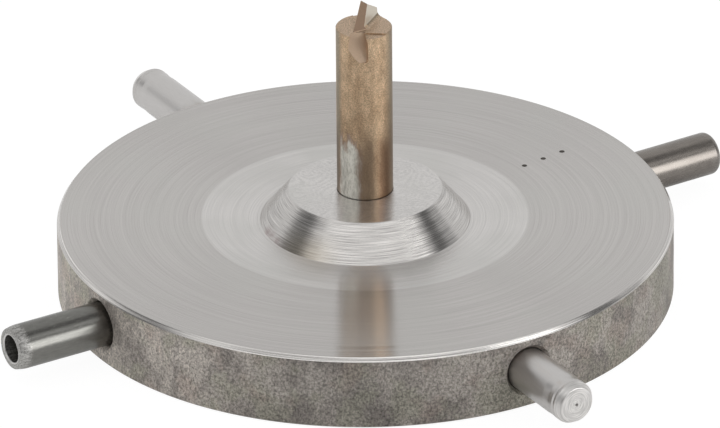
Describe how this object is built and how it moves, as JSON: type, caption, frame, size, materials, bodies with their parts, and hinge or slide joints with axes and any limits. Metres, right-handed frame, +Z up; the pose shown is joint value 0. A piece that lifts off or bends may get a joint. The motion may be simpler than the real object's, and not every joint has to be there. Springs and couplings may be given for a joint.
{
  "type": "hand-turned capstan disc",
  "caption": "Turned steel disc with a conical boss, a fixed upright spindle ending in one ground tooth, and round radial spokes to turn it by hand",
  "frame": {"origin": "on the spindle's axis, in the plane of the disc's underside", "axes": "+Z up the spindle from the underside to the tooth; the spokes lie in planes parallel to XY, the first one 32 degrees from +X towards +Y"},
  "size_m": [0.1287, 0.13, 0.0559],
  "materials": {
    "turned_steel": "concentric turned face, mill skin left on the rim",
    "heat_tinted_steel": "ground bar with a straw to brown heat tint",
    "hardened_dowel_steel": "dark satin, hardened and oiled",
    "bright_turned_steel": "satin, turned and faced end"
  },
  "bodies": {
    "capstan": {"capstan_disc": "turned_steel", "spindle": "heat_tinted_steel"},
    "dowel_spoke_tapped": {"dowel_spoke_tapped": "hardened_dowel_steel"},
    "dowel_spoke_plain": {"dowel_spoke_plain": "hardened_dowel_steel"},
    "turned_spoke_short": {"turned_spoke_short": "bright_turned_steel"},
    "turned_spoke_long": {"turned_spoke_long": "bright_turned_steel"}
  },
  "joints": [
    {"name": "dowel_spoke_tapped_draw", "type": "slide", "parent": "capstan", "child": "dowel_spoke_tapped", "axis": [-0.8572, -0.515, 0], "range_m": [0, 0.024]},
    {"name": "dowel_spoke_plain_draw", "type": "slide", "parent": "capstan", "child": "dowel_spoke_plain", "axis": [0.8471, 0.5314, 0], "range_m": [0, 0.024]},
    {"name": "turned_spoke_short_draw", "type": "slide", "parent": "capstan", "child": "turned_spoke_short", "axis": [0.5195, -0.8545, 0], "range_m": [0, 0.024]},
    {"name": "turned_spoke_long_draw", "type": "slide", "parent": "capstan", "child": "turned_spoke_long", "axis": [-0.5135, 0.8581, 0], "range_m": [0, 0.024]}
  ]
}
